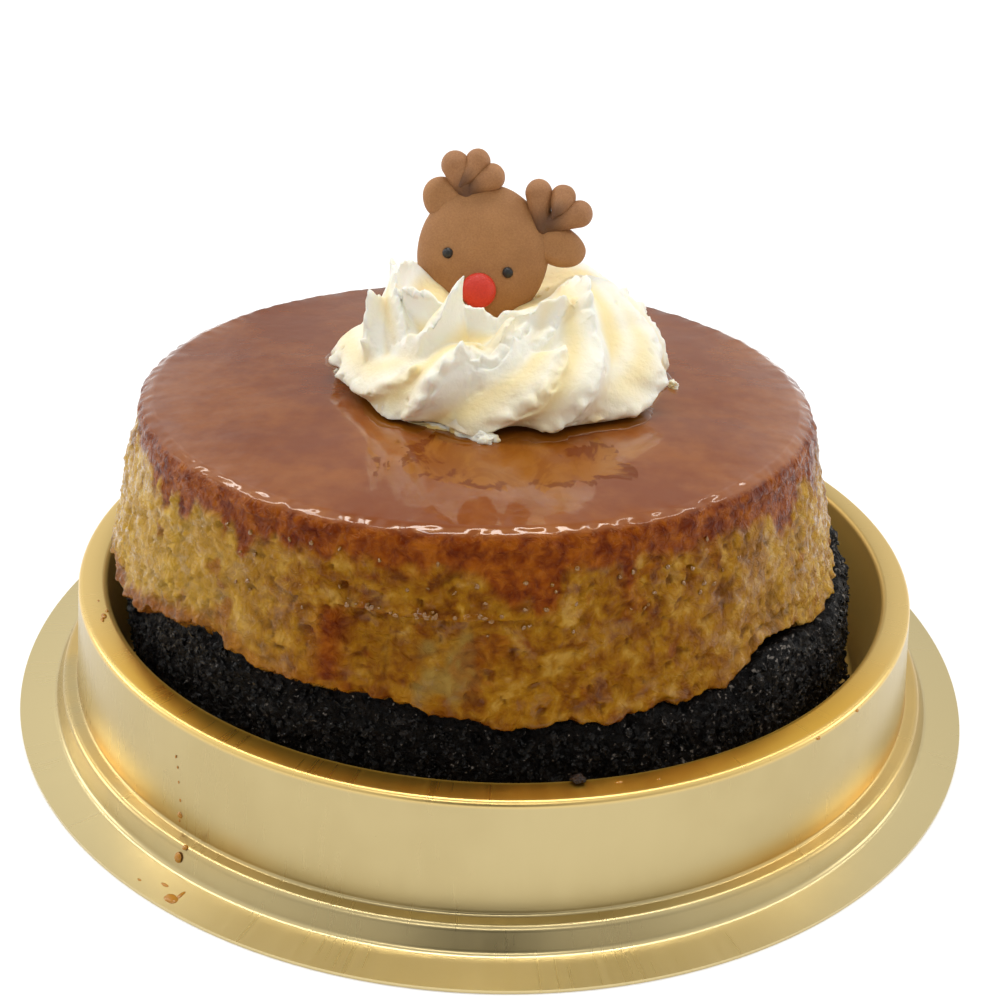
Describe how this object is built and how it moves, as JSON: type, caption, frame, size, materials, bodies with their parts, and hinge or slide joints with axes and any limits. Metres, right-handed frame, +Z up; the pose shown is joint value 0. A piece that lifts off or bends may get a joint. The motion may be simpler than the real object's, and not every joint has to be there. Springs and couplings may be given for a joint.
{
  "type": "chocoflan cake in a gold tray",
  "caption": "Round two-layer cake of flan over chocolate in a shallow gold tray, with piped cream and a sugar reindeer head on top.",
  "frame": {"origin": "on the table, under the middle of the round tray", "axes": "+Z up; the face of the topper looks along -Y, and +X is to its viewer's right"},
  "size_m": [0.2, 0.2, 0.1057],
  "materials": {
    "gold_foil": "satin gold-coloured thin pressed sheet with fine vertical brushing and syrup spots",
    "chocolate_crumb": "moist, very dark open crumb",
    "flan_custard": "wet baked custard, caramel-soaked brown top, pitted golden side",
    "cream": "soft matte whipped cream, ivory in the folds",
    "brown_icing": "dry matte sugar icing with a fine grain",
    "dark_icing": "dry matte dark brown sugar icing",
    "red_icing": "smooth red sugar icing with a soft highlight",
    "black_icing": "small black icing dots"
  },
  "bodies": {
    "root": {"gold_tray": "gold_foil", "chocolate_layer": "chocolate_crumb", "flan": "flan_custard", "whipped_cream": "cream", "topper_head": "brown_icing", "topper_ear_left": "brown_icing", "topper_ear_right": "brown_icing", "topper_antler_left": "dark_icing", "topper_antler_right": "dark_icing", "topper_nose": "red_icing", "topper_eye_left": "black_icing", "topper_eye_right": "black_icing"}
  },
  "joints": []
}
